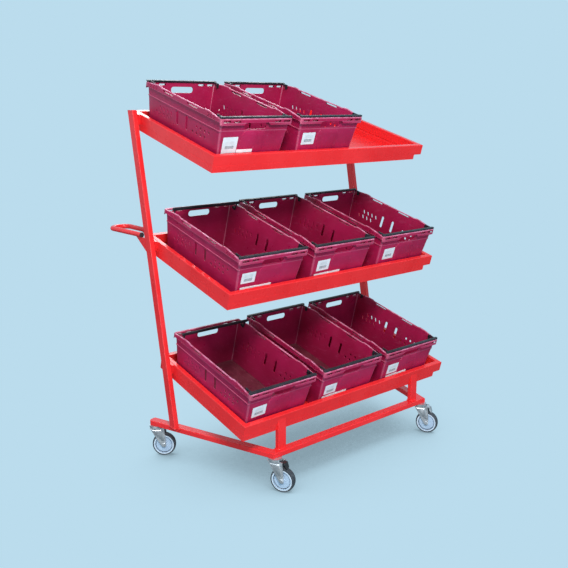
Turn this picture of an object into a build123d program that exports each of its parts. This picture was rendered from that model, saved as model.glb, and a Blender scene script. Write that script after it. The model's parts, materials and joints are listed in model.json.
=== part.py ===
"""Tote box trolley: three tilted trays between two leaning uprights, on a splayed base with four castors.

Each tray holds loose totes with swinging bale arms. Millimetres, +Z up, +Y towards the handles, -Y the front
from which the totes are filled. The origin is on the floor, below the middle of the whole trolley.
"""
import os
from math import acos, asin, atan2, cos, degrees, hypot, radians, sin, sqrt, tan

from build123d import *

# Frame tube, one rectangular section for base, posts and uprights
TUBE_LONG = 45.0
TUBE_SHORT = 25.0
TUBE_WALL = 2.0
TUBE_CORNER = 3.5
CAP = 3.0
RAIL_CAP = 18.0
RAIL_CAP_ROUND = 14.0

# Totes, loose boxes of one stock size
TOTE_WIDTH = 389.0
TOTE_LENGTH = 610.0
TOTE_HEIGHT = 235.0
TOTE_WALL = 3.0
TOTE_TAPER = 22.0
TOTE_CORNER = 10.0
RIM_CORNER = 8.0
RIM_SIDE = 6.0
RIM_END = 9.0
RIM_BAND = 28.0
RIM_END_BAND = 38.0
RIM_END_DROP = 10.0
RIM_SLOPE = 80.0
RIM_DIP = 4.0
RIM_DIP_LENGTH = 330.0
RIM_DIP_RAMP = 12.0
RIB_HEIGHT = 4.0
RIB_DEPTH = 3.0
RIB_DROP = 69.0
HAND_HOLE = (123.0, 26.0)
HAND_HOLE_DROP = 45.0
VENT = (12.0, 62.0)
VENT_PITCH = 75.0
VENT_DROP = 104.0
AIR_GROUP_OFF = 148.0
AIR_PITCH = 30.6
AIR_COLUMNS = 4
AIR_DROPS = (98.0, 126.0)
AIR_HOLE_D = 12.0
AIR_SLIT = (20.0, 7.0)
AIR_SLIT_LEAN = 28.0
SIDE_SLIT = (82.0, 8.0)
SIDE_SLIT_DROP = 13.0
SIDE_SLITS = (-87.0, 110.0)
END_SLIT = (38.0, 9.0)
END_SLIT_DROP = 22.0
END_SLIT_OFF = 136.0
END_SLIT_PITCH = 53.0
PANEL_TOP = (140.0, 66.0)
PANEL_SHOULDER = (190.0, 96.0)
PANEL_FOOT = 20.0
PANEL_OUT = 2.0
BOSS = 26.0
TOTE_SEAT = 0.3

# Bale arms, black bars that swing over the tote's ends
ARM_BAR_WIDTH = 22.0
ARM_BAR_HEIGHT = 12.0
ARM_BAR_ROUND = 5.0
ARM_END_ROUND = 9.0
ARM_LEG = 6.0
ARM_EYE_R = 6.5
ARM_PIN = 4.0
ARM_PIN_LENGTH = 8.0
ARM_PIN_GAP = 0.3
ARM_RUNNING = 0.05
ARM_LEG_IN = 13.0
ARM_PIVOT_IN = 49.0
ARM_PIVOT_DROP = 20.0
ARM_REACH = 38.0
ARM_REST = 24.0
ARM_LIFT = 0.5

# Trays, a rim of rectangular tube over a folded sheet pan
RIM_WIDTH = 25.0
RIM_HEIGHT = 47.0
SHEET = 1.5
PAN_DROP = 28.0
PAN_STEP = 52.0
TOTE_SETBACK = 8.2
TRAY_BACK_GAP = 60.3
BAY_GAP = 40.3
BAYS = 3
# Where each tray crosses the uprights, how far it reaches ahead of them, and its tilt
TRAY_HEIGHTS = {"top": 1636.4, "middle": 1052.8, "bottom": 468.1}
TRAY_REACHES = {"top": 621.3, "middle": 604.5, "bottom": 589.3}
TRAY_TILTS = {"top": 15.6, "middle": 15.2, "bottom": 14.1}
# How far each tote stands off the middle of its bay
TOTE_OFFSETS = {"top": (-27.0, -15.5), "middle": (-9.0, -2.6, 16.0), "bottom": (-35.5, -28.4, -31.0)}

# Uprights and the blocks that carry the trays
BLOCK = 13.1
UPRIGHT_LEAN = 10.43
UPRIGHT_ABOVE = 37.6
UPRIGHT_FOOT_Y = -16.0

# Base, with side rails that splay out towards the back
CASTOR_HEIGHT = 158.0
SPLAY = 17.7
FOOT_INSET = 24.0
FRONT_RAIL_Y = -556.0
REAR_END_Y = 145.0
POST_INSET = 60.0

# Push handles behind the uprights
HANDLE_RISE = 42.2
HANDLE_TUBE = 24.0
HANDLE_WALL = 2.0
HANDLE_GAP = 25.0
HANDLE_REACH = 323.0
HANDLE_WIDTH = 101.0
HANDLE_FLARE = 9.0
HANDLE_OFFSET = 11.4
HANDLE_BEND = 42.0
HANDLE_INNER_SHORT = 101.0
PLUG_FLANGE = 3.0
PLUG_DEPTH = 12.0
PLUG_GAP = 0.1
PLATE = 10.0
GUSSET_REACH = 76.0
GUSSET_DROP = 62.0
BRACKET_DEPTH = 24.0
BRACKET_SEAT = 43.0

# Castors
WHEEL_D = 116.0
WHEEL_WIDTH = 32.0
TYRE = 8.5
TREAD_CROWN = 3.0
HUB_R = 15.0
HUB_WIDTH = 34.0
RIM_RING = 7.5
RIM_GROOVE = 4.0
GROOVE_DEPTH = 6.0
DISC_IN = 3.0
AXLE_R = 5.0
AXLE_RUNNING = 0.05
TRAIL = 39.0
FORK_GAP = 2.0
FORK_SHEET = 4.0
FORK_BACK = 28.0
FORK_FRONT = 44.0
AXLE_BOSS = 12.0
AXLE_HEAD = 4.0
AXLE_HEAD_R = 9.0
CROWN = 8.0
CROWN_CORNER = 13.0
RACE_R = 31.0
RACE_HEIGHT = 11.0
RACE_GAP = 0.4
KING_R = 6.0
KING_RUNNING = 0.05
KING_NUT_R = 11.0
KING_NUT = 6.0
FRONT_CASTOR_IN = 20.0
FRONT_CASTOR_BACK = 14.0
REAR_CASTOR_AHEAD = 23.0
# Angle by which each wheel trails, turned from the front towards the right
CASTOR_TURNS = {"front_left": 26.0, "front_right": 27.0, "rear_left": 47.0, "rear_right": 8.0}

# Brake pedals on the front castors
PEDAL_PIN_R = 2.5
PEDAL_RUNNING = 0.05
PEDAL_EYE_R = 5.0
PEDAL_AHEAD = 36.0
PEDAL_WIDTH = 26.0
PEDAL_LENGTH = 20.0
PEDAL_TOE = 8.0
PEDAL_SHEET = 4.5
SHOE_GAP = 4.0

# Sizes that follow from the ones above
RAIL_TOP = CASTOR_HEIGHT + TUBE_SHORT
UPRIGHT_TOP = TRAY_HEIGHTS["top"] + UPRIGHT_ABOVE
HANDLE_Z = TRAY_HEIGHTS["middle"] + HANDLE_RISE
BAY = TOTE_WIDTH + BAY_GAP
TRAY_WIDTH = BAYS * BAY + 2 * RIM_WIDTH
TRAY_DEPTH = TOTE_SETBACK + TOTE_LENGTH + TRAY_BACK_GAP
PAN_FLOOR = -(RIM_HEIGHT + PAN_DROP)
UPRIGHT_X = TRAY_WIDTH / 2 + BLOCK + TUBE_SHORT / 2
FRONT_RAIL_BACK = FRONT_RAIL_Y + TUBE_LONG


def upright_y(z):
    """Return where the uprights' centre line is at a height."""
    return UPRIGHT_FOOT_Y + (z - RAIL_TOP) * tan(radians(UPRIGHT_LEAN))


def rail_x(y):
    """Return the right side rail's centre line."""
    return UPRIGHT_X - FOOT_INSET + (y - UPRIGHT_FOOT_Y) * tan(radians(SPLAY))


FRONT_HALF = rail_x(FRONT_RAIL_Y) + TUBE_LONG / 2 / cos(radians(SPLAY))
UPRIGHT_BACK = TUBE_LONG / 2 / cos(radians(UPRIGHT_LEAN))
WHEEL_R = WHEEL_D / 2
ARM_LEG_X = TOTE_WIDTH / 2 - ARM_LEG_IN
FROM_BELOW = (Align.CENTER, Align.CENTER, Align.MIN)
ARM_RISE = ARM_PIVOT_DROP - RIM_END_DROP + ARM_LIFT + ARM_BAR_HEIGHT / 2


def tray_plane(name):
    """Return a tray's own frame: X along the rim's front top edge, Y up the slope, Z square to both."""
    height, tilt = TRAY_HEIGHTS[name], radians(TRAY_TILTS[name])
    slope = Vector(0, cos(tilt), sin(tilt))
    normal = Vector(0, -sin(tilt), cos(tilt))
    origin = Vector(0, upright_y(height), height) - slope * TRAY_REACHES[name] + normal * (RIM_HEIGHT / 2)
    return Plane(origin=origin, x_dir=(1, 0, 0), z_dir=normal)


def tube_section(width, height, hollow):
    """Return a rectangular tube's section with rounded corners, or its filled outline."""
    outline = RectangleRounded(width, height, TUBE_CORNER)
    if hollow:
        outline -= RectangleRounded(width - 2 * TUBE_WALL, height - 2 * TUBE_WALL, TUBE_CORNER - TUBE_WALL)
    return outline


def frame_tube(start, end, x_dir, width, height, hollow=True):
    """Return a straight length of tube between two points, width along x_dir."""
    axis = Vector(*end) - Vector(*start)
    plane = Plane(origin=start, x_dir=x_dir, z_dir=axis)
    return extrude(plane * tube_section(width, height, hollow), amount=axis.length)


def keep_side(part, point, normal):
    """Return what lies on the side of a plane that its normal points to."""
    return split(part, bisect_by=Plane(origin=point, z_dir=normal), keep=Keep.TOP)


def trim(part, low, high, axis):
    """Return the slice of a part between two places along an axis."""
    axis = Vector(*axis)
    return keep_side(keep_side(part, axis * low, axis), axis * high, axis * -1)


def mirrored(part):
    """Return the other side's copy of a part."""
    return mirror(part, about=Plane.YZ)


def side_rail(hollow=True):
    """Return the right side rail, longer than needed in front."""
    ahead, behind = FRONT_RAIL_Y - TUBE_LONG, REAR_END_Y
    middle = RAIL_TOP - TUBE_SHORT / 2
    start = (rail_x(ahead), ahead, middle)
    end = (rail_x(behind), behind, middle)
    across = (cos(radians(SPLAY)), -sin(radians(SPLAY)), 0)
    return frame_tube(start, end, across, TUBE_LONG, TUBE_SHORT, hollow)


def upright(hollow=True):
    """Return the right upright, longer than needed at both ends."""
    low, high = RAIL_TOP - TUBE_LONG, UPRIGHT_TOP + TUBE_LONG
    start = (UPRIGHT_X, upright_y(low), low)
    end = (UPRIGHT_X, upright_y(high), high)
    return frame_tube(start, end, (1, 0, 0), TUBE_SHORT, TUBE_LONG, hollow)


def mitre():
    """Return a point of the plane where front and right side rail meet, and its normal, to the side rail."""
    front_y = FRONT_RAIL_Y + TUBE_LONG / 2
    splay = radians(SPLAY)
    return Vector(rail_x(front_y), front_y, 0), Vector(1 + sin(splay), cos(splay), 0)


def front_rail():
    """Return the front rail, mitred at both ends."""
    point, normal = mitre()
    centre = (point.Y, RAIL_TOP - TUBE_SHORT / 2)
    rail = frame_tube((-FRONT_HALF, *centre), (FRONT_HALF, *centre), (0, 1, 0), TUBE_LONG, TUBE_SHORT)
    rail = keep_side(rail, point, normal * -1)
    return keep_side(rail, (-point.X, point.Y, 0), (normal.X, -normal.Y, 0))


def side_rail_and_cap():
    """Return the right side rail, mitred in front, and the rounded cap that closes it behind."""
    along = Vector(sin(radians(SPLAY)), cos(radians(SPLAY)), 0)
    rear = Vector(rail_x(REAR_END_Y), REAR_END_Y, 0)
    joint = rear - along * RAIL_CAP
    rail = keep_side(keep_side(side_rail(), *mitre()), joint, along * -1)
    rounded = extrude(RectangleRounded(TUBE_LONG, 2 * TUBE_LONG, RAIL_CAP_ROUND), amount=2 * RAIL_TOP)
    middle = rear - along * TUBE_LONG
    rounded = Location((middle.X, middle.Y, 0), (0, 0, -SPLAY)) * rounded
    return rail, keep_side(side_rail(hollow=False), joint, along) & rounded


def front_post():
    """Return the right front post, coped to the bottom tray's front edge."""
    tray = tray_plane("bottom")
    x, y = rail_x(FRONT_RAIL_BACK) - POST_INSET, FRONT_RAIL_BACK - TUBE_SHORT / 2
    post = frame_tube((x, y, RAIL_TOP), (x, y, tray.origin.Z), (1, 0, 0), TUBE_LONG, TUBE_SHORT)
    above = Box(TRAY_WIDTH, TRAY_DEPTH, TRAY_DEPTH, align=(Align.CENTER, Align.MIN, Align.MIN))
    return post - Location(tray) * Pos(0, 0, PAN_FLOOR) * above


def base_parts():
    """Return the base rails, posts, uprights and the caps that close their ends."""
    rail, rail_cap = side_rail_and_cap()
    leg = trim(upright(), RAIL_TOP, UPRIGHT_TOP - CAP, (0, 0, 1))
    leg_cap = trim(upright(hollow=False), UPRIGHT_TOP - CAP, UPRIGHT_TOP, (0, 0, 1))
    post = front_post()
    return {
        "base_front_rail": front_rail(),
        "base_side_rail_right": rail,
        "base_side_rail_left": mirrored(rail),
        "upright_right": leg,
        "upright_left": mirrored(leg),
        "front_post_right": post,
        "front_post_left": mirrored(post),
        "tube_end_caps": [rail_cap, leg_cap, mirrored(rail_cap), mirrored(leg_cap)],
    }


def rim_rail(length):
    """Return one mitred length of tray rim, its outer face on Y = 0 and its top on Z = 0."""
    centre = RIM_WIDTH / 2
    ends = ((-length / 2, centre, -RIM_HEIGHT / 2), (length / 2, centre, -RIM_HEIGHT / 2))
    rail = frame_tube(*ends, (0, 1, 0), RIM_WIDTH, RIM_HEIGHT)
    rail = keep_side(rail, (-length / 2, 0, 0), (1, -1, 0))
    return keep_side(rail, (length / 2, 0, 0), (-1, -1, 0))


def tray_rim():
    """Return the four mitred lengths of a tray's rim."""
    long_rail, short_rail = rim_rail(TRAY_WIDTH), rim_rail(TRAY_DEPTH)
    middle = TRAY_DEPTH / 2
    return [
        long_rail,
        Pos(0, TRAY_DEPTH, 0) * Rot(0, 0, 180) * long_rail,
        Pos(TRAY_WIDTH / 2, middle, 0) * Rot(0, 0, 90) * short_rail,
        Pos(-TRAY_WIDTH / 2, middle, 0) * Rot(0, 0, -90) * short_rail,
    ]


def tray_pan():
    """Return the folded pan under a rim: its right end steps in and hangs from a ledge under the rim."""
    left, right = -TRAY_WIDTH / 2, TRAY_WIDTH / 2 - PAN_STEP
    width, place = right - left, Pos((left + right) / 2, TRAY_DEPTH / 2, PAN_FLOOR)
    low = (Align.CENTER, Align.CENTER, Align.MIN)
    pan = place * Box(width, TRAY_DEPTH, PAN_DROP, align=low)
    pan -= place * Pos(0, 0, SHEET) * Box(width - 2 * SHEET, TRAY_DEPTH - 2 * SHEET, PAN_DROP, align=low)
    ledge = Box(PAN_STEP + SHEET, TRAY_DEPTH, SHEET, align=(Align.MAX, Align.CENTER, Align.MAX))
    return pan + Pos(TRAY_WIDTH / 2, TRAY_DEPTH / 2, -RIM_HEIGHT) * ledge


def tray_parts():
    """Return every tray's rim and pan, and the blocks that hold the trays between the uprights."""
    parts, blocks = {}, []
    rim, pan = tray_rim(), tray_pan()
    for name, reach in TRAY_REACHES.items():
        place = Location(tray_plane(name))
        parts[f"tray_{name}_rim"] = [place * rail for rail in rim]
        parts[f"tray_{name}_pan"] = place * pan
        block = Pos(TRAY_WIDTH / 2 + BLOCK / 2, reach, -RIM_HEIGHT / 2) * Box(BLOCK, TUBE_LONG, RIM_HEIGHT)
        blocks += [place * block, place * mirrored(block)]
    parts["tray_blocks"] = blocks
    return parts


def handle_path():
    """Return the right handle's centre line: out behind the upright, round and back to the middle tray."""
    outer = UPRIGHT_X + HANDLE_OFFSET
    front = upright_y(HANDLE_Z) + UPRIGHT_BACK + HANDLE_GAP
    back = front - HANDLE_GAP + HANDLE_REACH
    inner = outer + HANDLE_FLARE - HANDLE_WIDTH
    inner_end = front + HANDLE_INNER_SHORT
    points = [(outer, front), (outer + HANDLE_FLARE, back), (inner, back), (inner, inner_end)]
    return FilletPolyline(*[(x, y, HANDLE_Z) for x, y in points], radius=HANDLE_BEND)


def end_plug(path, at):
    """Return a push-in plug for one end of the handle tube."""
    outward = path.tangent_at(at) * (1 if at else -1)
    plane = Plane(origin=path.position_at(at), z_dir=outward)
    bore = HANDLE_TUBE / 2 - HANDLE_WALL - PLUG_GAP
    flange = extrude(plane * Circle(HANDLE_TUBE / 2), amount=PLUG_FLANGE)
    return flange + extrude(plane * Circle(bore), amount=-PLUG_DEPTH)


def plate_in_yz(points, x):
    """Return an upright plate from an outline in Y and Z, centred on a place across the trolley."""
    outline = make_face(Polyline(*[(x - PLATE / 2, y, z) for y, z in points], close=True))
    return extrude(outline, amount=PLATE, dir=(1, 0, 0))


def handle_parts():
    """Return the two push handles, their end plugs, and the gussets and brackets that carry them."""
    path = handle_path()
    ring = Circle(HANDLE_TUBE / 2) - Circle(HANDLE_TUBE / 2 - HANDLE_WALL)
    tube = sweep(Plane(origin=path @ 0, z_dir=path % 0) * ring, path=path)

    under = HANDLE_Z - HANDLE_TUBE / 2
    low = under - GUSSET_DROP
    behind = upright_y(under) + UPRIGHT_BACK
    gusset_points = [(behind, under), (behind + GUSSET_REACH, under), (upright_y(low) + UPRIGHT_BACK, low)]
    gusset = plate_in_yz(gusset_points, UPRIGHT_X + TUBE_SHORT / 2 - PLATE / 2)

    inner = path @ 1
    tray = tray_plane("middle")
    back_face = tray.origin + tray.y_dir * TRAY_DEPTH
    drop = (back_face.Z - under) / tray.z_dir.Z + TUBE_CORNER
    top = back_face - tray.z_dir * drop
    bottom = top - tray.z_dir * BRACKET_DEPTH
    bracket_points = [
        (top.Y, top.Z),
        (inner.Y - BRACKET_DEPTH / 2, top.Z),
        (inner.Y, under),
        (inner.Y + BRACKET_SEAT, under),
        (bottom.Y, bottom.Z),
    ]
    bracket = plate_in_yz(bracket_points, inner.X)

    plugs = [end_plug(path, 0), end_plug(path, 1)]
    return {
        "handle_right": tube,
        "handle_left": mirrored(tube),
        "handle_end_plugs": plugs + [mirrored(plug) for plug in plugs],
        "handle_brackets": [gusset, bracket, mirrored(gusset), mirrored(bracket)],
    }


def tapered_block(inset, low, high):
    """Return a block between two heights, sloped and rounded as the tote's walls, moved in by an inset."""
    block = Pos(0, 0, low) * Box(TOTE_WIDTH, TOTE_LENGTH, high - low, align=FROM_BELOW)
    for x, y in ((1, 0), (-1, 0), (0, 1), (0, -1)):
        reach = (TOTE_WIDTH / 2 - RIM_SIDE if x else TOTE_LENGTH / 2 - RIM_END) - inset
        inward = Vector(-x * TOTE_HEIGHT, -y * TOTE_HEIGHT, TOTE_TAPER)
        block = keep_side(block, (x * reach, y * reach, TOTE_HEIGHT), inward)
    corners = block.edges().filter_by(lambda edge: abs((edge % 0).Z) > 0.5)
    return fillet(corners, TOTE_CORNER - inset)


def tote_outside():
    """Return the tote's filled outline: tapered walls, a rib round them and a raised panel on each end."""
    rib_z = TOTE_HEIGHT - RIB_DROP
    rib = tapered_block(-RIB_DEPTH, rib_z, rib_z + RIB_HEIGHT)
    top, shoulder = PANEL_TOP[0] / 2, PANEL_SHOULDER[0] / 2
    top_z, shoulder_z = TOTE_HEIGHT - PANEL_TOP[1], TOTE_HEIGHT - PANEL_SHOULDER[1]
    right = [(shoulder, PANEL_FOOT), (shoulder, shoulder_z), (top, top_z)]
    left = [(-x, z) for x, z in reversed(right)]
    panel = through_ends(make_face(Polyline(*right, *left, close=True)))
    proud = tapered_block(-PANEL_OUT, 0, TOTE_HEIGHT) & panel
    return tapered_block(0, 0, TOTE_HEIGHT) + rib + proud


def rim_layer(inset, low, high):
    """Return a slab with the rim's rounded outline, moved in by an inset."""
    outline = RectangleRounded(TOTE_WIDTH - 2 * inset, TOTE_LENGTH - 2 * inset, RIM_CORNER - inset)
    return Pos(0, 0, low) * extrude(outline, amount=high - low)


def tote_rim():
    """Return the band round the tote's mouth, hollow below but for the bosses that take the arms' pins."""
    side_low, end_low = TOTE_HEIGHT - RIM_BAND, TOTE_HEIGHT - RIM_END_BAND
    between = Box(2 * TOTE_WIDTH, TOTE_LENGTH - 2 * RIM_END, 3 * TOTE_HEIGHT)
    ends = rim_layer(0, end_low, TOTE_HEIGHT) - between
    hollow = rim_layer(TOTE_WALL, end_low, TOTE_HEIGHT - RIM_END_DROP - TOTE_WALL)
    for end in (-1, 1):
        hollow -= Pos(0, end * arm_pivot().Y, TOTE_HEIGHT) * Box(TOTE_WIDTH, BOSS, 2 * RIM_BAND)
    return rim_layer(0, side_low, TOTE_HEIGHT) + ends - hollow


def through_sides(outline, place=Pos()):
    """Return an outline, drawn along Y and Z, carried through both long walls."""
    return extrude(Plane.YZ * place * outline, amount=TOTE_WIDTH, both=True)


def through_ends(outline, place=Pos()):
    """Return an outline, drawn along X and Z, carried through both end walls."""
    return extrude(Plane.XZ * place * outline, amount=TOTE_LENGTH, both=True)


def tote_openings():
    """Return all that is cut through a tote's walls for hands and air."""
    cuts = [through_ends(SlotOverall(*HAND_HOLE), Pos(0, TOTE_HEIGHT - HAND_HOLE_DROP))]
    for side in (-1, 1):
        cuts.append(through_sides(Rectangle(*VENT), Pos(side * VENT_PITCH / 2, TOTE_HEIGHT - VENT_DROP)))
        for step in (-0.5, 0.5):
            x = side * (END_SLIT_OFF + step * END_SLIT_PITCH)
            cuts.append(through_ends(SlotOverall(*END_SLIT), Pos(x, TOTE_HEIGHT - END_SLIT_DROP)))
    slit_z = TOTE_HEIGHT - SIDE_SLIT_DROP
    cuts += [through_sides(SlotOverall(*SIDE_SLIT), Pos(y, slit_z)) for y in SIDE_SLITS]
    upright_slit = Rot(0, 0, 90 + AIR_SLIT_LEAN) * SlotOverall(*AIR_SLIT)
    for row, drop in enumerate(AIR_DROPS):
        for column in range(AIR_COLUMNS):
            shift = (column + row - AIR_COLUMNS / 2) * AIR_PITCH
            z = TOTE_HEIGHT - drop
            cuts.append(through_sides(Circle(AIR_HOLE_D / 2), Pos(-AIR_GROUP_OFF + shift, z)))
            cuts.append(through_sides(upright_slit, Pos(AIR_GROUP_OFF + shift, z)))
    return cuts


def rim_cuts():
    """Return what is cut off the rim: a dip along the sides, and slopes down to the arms' rests."""
    over = TOTE_HEIGHT + TOTE_WALL
    half_dip, dip_z = RIM_DIP_LENGTH / 2, TOTE_HEIGHT - RIM_DIP
    flare = half_dip + RIM_DIP_RAMP * (over - dip_z) / RIM_DIP
    floor = [(-half_dip, dip_z), (half_dip, dip_z)]
    dip = make_face(Polyline((-flare, over), *floor, (flare, over), close=True))
    rest_z, rest_y = TOTE_HEIGHT - RIM_END_DROP, TOTE_LENGTH / 2 - ARM_REST
    rest = [(rest_y, rest_z), (TOTE_LENGTH, rest_z), (TOTE_LENGTH, over)]
    ahead = rest_y - RIM_SLOPE
    slope = make_face(Polyline((ahead, over), (ahead, TOTE_HEIGHT), *rest, close=True))
    back = through_sides(slope)
    return [through_sides(dip), back, mirror(back, about=Plane.XZ)]


def tote():
    """Return one tote standing on Z = 0."""
    inside = tapered_block(TOTE_WALL, TOTE_WALL, TOTE_HEIGHT + TOTE_WALL)
    body = tote_rim() + tote_outside() - inside
    body -= [*rim_cuts(), *tote_openings()]
    pin_hole = Cylinder(ARM_PIN + ARM_RUNNING, ARM_PIN_LENGTH + ARM_PIN_GAP, align=FROM_BELOW)
    for end in (-1, 1):
        hole = Pos(ARM_LEG_X, end * arm_pivot().Y, arm_pivot().Z) * Rot(0, 90, 0) * pin_hole
        body -= [hole, mirrored(hole)]
    return body


def arm_pivot():
    """Return a back arm's pivot in its tote's frame."""
    return Vector(0, TOTE_LENGTH / 2 - ARM_PIVOT_IN, TOTE_HEIGHT - ARM_PIVOT_DROP)


def arm_swing():
    """Return an arm's swing, from out on the tote's end to in, its bar just above the side rims."""
    reach = ARM_REACH - ARM_BAR_WIDTH / 2 + ARM_BAR_ROUND
    rise = ARM_RISE + ARM_BAR_HEIGHT / 2 - ARM_BAR_ROUND
    clear = ARM_PIVOT_DROP + ARM_LIFT + ARM_BAR_ROUND
    return 180 - degrees(asin(clear / hypot(reach, rise)) + atan2(rise, reach))


def bale_arm():
    """Return a back arm swung out: a flat bar on the tote's end rim, two legs and their outward pins."""
    pivot = arm_pivot()
    bar_y, bar_z = pivot.Y + ARM_REACH, pivot.Z + ARM_RISE
    section = Plane.YZ * Pos(bar_y, bar_z) * RectangleRounded(ARM_BAR_WIDTH, ARM_BAR_HEIGHT, ARM_BAR_ROUND)
    plan = Pos(0, bar_y, 0) * RectangleRounded(TOTE_WIDTH, ARM_BAR_WIDTH, ARM_END_ROUND)
    bar = extrude(section, amount=TOTE_WIDTH, both=True) & extrude(plan, amount=2 * TOTE_HEIGHT)
    low, high = ARM_RISE - ARM_BAR_HEIGHT / 2, ARM_RISE + ARM_BAR_HEIGHT / 2
    outer = [(-ARM_EYE_R, 0), (-ARM_EYE_R, high), (ARM_REACH, high)]
    inner = [(ARM_REACH, low), (ARM_EYE_R, low), (ARM_EYE_R, 0)]
    cheek = make_face(Polyline(*outer, *inner, close=True)) + Circle(ARM_EYE_R)
    leg = Pos(ARM_LEG_X - ARM_LEG, 0, 0) * extrude(Plane.YZ * Pos(pivot.Y, pivot.Z) * cheek, amount=ARM_LEG)
    pin = Rot(0, 90, 0) * Cylinder(ARM_PIN, ARM_PIN_LENGTH, align=FROM_BELOW)
    leg += Pos(ARM_LEG_X, pivot.Y, pivot.Z) * pin
    return bar + leg + mirrored(leg)


# Totes whose back arm the trolley carries swung in
ARMS_IN = ("middle_1", "bottom_1")


def tote_parts(joints):
    """Return every tote and its two arms, and note where they lift and swing."""
    parts = {}
    body, arm = tote(), bale_arm()
    pivot = arm_pivot()
    swung = Pos(*pivot) * Rot(arm_swing(), 0, 0) * Pos(*(pivot * -1)) * arm
    front_arm = Rot(0, 0, 180) * arm
    base = PAN_FLOOR + SHEET + TOTE_SEAT
    for name, offsets in TOTE_OFFSETS.items():
        plane = tray_plane(name)
        for bay, offset in enumerate(offsets):
            number = f"{name}_{bay + 1}"
            x = (bay - (BAYS - 1) / 2) * BAY + offset
            spot = Location(plane) * Pos(x, TOTE_SETBACK + TOTE_LENGTH / 2, base)
            parts[f"tote_{number}"] = spot * body
            parts[f"arm_front_{number}"] = spot * front_arm
            parts[f"arm_back_{number}"] = spot * (swung if number in ARMS_IN else arm)
            joints[f"tote_{number}_lift"] = (spot.position, plane.z_dir)
            front_pivot = spot * Pos(0, -pivot.Y, pivot.Z)
            back_pivot = spot * Pos(0, pivot.Y, pivot.Z)
            joints[f"arm_front_{number}_swing"] = (front_pivot.position, Vector(-1, 0, 0))
            turn = -1 if number in ARMS_IN else 1
            joints[f"arm_back_{number}_swing"] = (back_pivot.position, Vector(turn, 0, 0))
    return parts


def castor_race():
    """Return the fixed top of a castor: its race and the king bolt that the fork turns on."""
    low = (Align.CENTER, Align.CENTER, Align.MAX)
    race = Pos(0, 0, CASTOR_HEIGHT) * Cylinder(RACE_R, RACE_HEIGHT, align=low)
    crown_top = CASTOR_HEIGHT - RACE_HEIGHT - RACE_GAP
    length = RACE_GAP + CROWN + RACE_GAP
    race += Pos(0, 0, CASTOR_HEIGHT - RACE_HEIGHT) * Cylinder(KING_R, length, align=low)
    nut = extrude(RegularPolygon(KING_NUT_R, 6), amount=-KING_NUT)
    return race + Pos(0, 0, crown_top - CROWN - RACE_GAP) * nut


def castor_fork(pedal):
    """Return the turning fork with its axle, trailing along X, and a pedal pin where it carries a brake."""
    top = CASTOR_HEIGHT - RACE_HEIGHT - RACE_GAP
    inside = WHEEL_WIDTH / 2 + FORK_GAP
    outside = inside + FORK_SHEET
    crown_length = FORK_BACK + FORK_FRONT
    crown = extrude(RectangleRounded(crown_length, 2 * outside, CROWN_CORNER), amount=CROWN)
    crown = Pos((FORK_FRONT - FORK_BACK) / 2, 0, top - CROWN) * crown
    crown -= Pos(0, 0, top - CROWN / 2) * Cylinder(KING_R + KING_RUNNING, 2 * CROWN)
    notch = FORK_FRONT - RACE_R + PEDAL_EYE_R
    crown -= Pos(FORK_FRONT, 0, top) * Box(2 * notch, 2 * inside, 3 * CROWN)

    reach = hypot(TRAIL + FORK_BACK, top - WHEEL_R)
    touch = atan2(top - WHEEL_R, -FORK_BACK - TRAIL) + acos(AXLE_BOSS / reach)
    back_low = (TRAIL + AXLE_BOSS * cos(touch), WHEEL_R + AXLE_BOSS * sin(touch))
    cheek = make_face(
        Polyline((-FORK_BACK, top), (FORK_FRONT, top), (TRAIL + AXLE_BOSS, WHEEL_R), back_low, close=True)
    )
    cheek += Pos(TRAIL, WHEEL_R) * Circle(AXLE_BOSS)
    plane = Plane(origin=(0, inside, 0), x_dir=(1, 0, 0), z_dir=(0, -1, 0))
    leg = extrude(plane * cheek, amount=-FORK_SHEET)
    leg = keep_side(leg, (0, 0, top), (0, 0, -1))
    fork = crown + leg + mirror(leg, about=Plane.XZ)
    across = Rot(90, 0, 0)
    fork += Pos(TRAIL, 0, WHEEL_R) * across * Cylinder(AXLE_R, 2 * outside)
    for side in (-1, 1):
        head = across * extrude(RegularPolygon(AXLE_HEAD_R, 6), amount=AXLE_HEAD / 2, both=True)
        fork += Pos(TRAIL, side * (outside + AXLE_HEAD / 2), WHEEL_R) * head
    if pedal:
        fork += Pos(PEDAL_AHEAD, 0, pedal_height()) * across * Cylinder(PEDAL_PIN_R, 2 * outside)
    return fork


def pedal_height():
    """Return the height of the brake pedal's pin."""
    return CASTOR_HEIGHT - RACE_HEIGHT - RACE_GAP - CROWN / 2 - PEDAL_PIN_R / 2


def brake_pedal():
    """Return the pedal: an eye on its pin and a tread that folds down to a shoe above the tyre."""
    height = pedal_height()
    top, low = height + PEDAL_SHEET / 2, height - PEDAL_SHEET / 2
    knee = PEDAL_AHEAD + PEDAL_LENGTH
    toe = knee + PEDAL_TOE
    heel = toe - PEDAL_SHEET
    foot = WHEEL_R + sqrt(WHEEL_R**2 - (heel - TRAIL) ** 2) + SHOE_GAP
    over = [(PEDAL_AHEAD, top), (knee, top), (toe, foot)]
    under = [(heel, foot), (knee - PEDAL_SHEET, low), (PEDAL_AHEAD, low)]
    profile = make_face(Polyline(*over, *under, close=True))
    profile += Pos(PEDAL_AHEAD, height) * Circle(PEDAL_EYE_R)
    profile -= Pos(PEDAL_AHEAD, height) * Circle(PEDAL_PIN_R + PEDAL_RUNNING)
    return extrude(Plane.XZ * profile, amount=PEDAL_WIDTH / 2, both=True)


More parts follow.
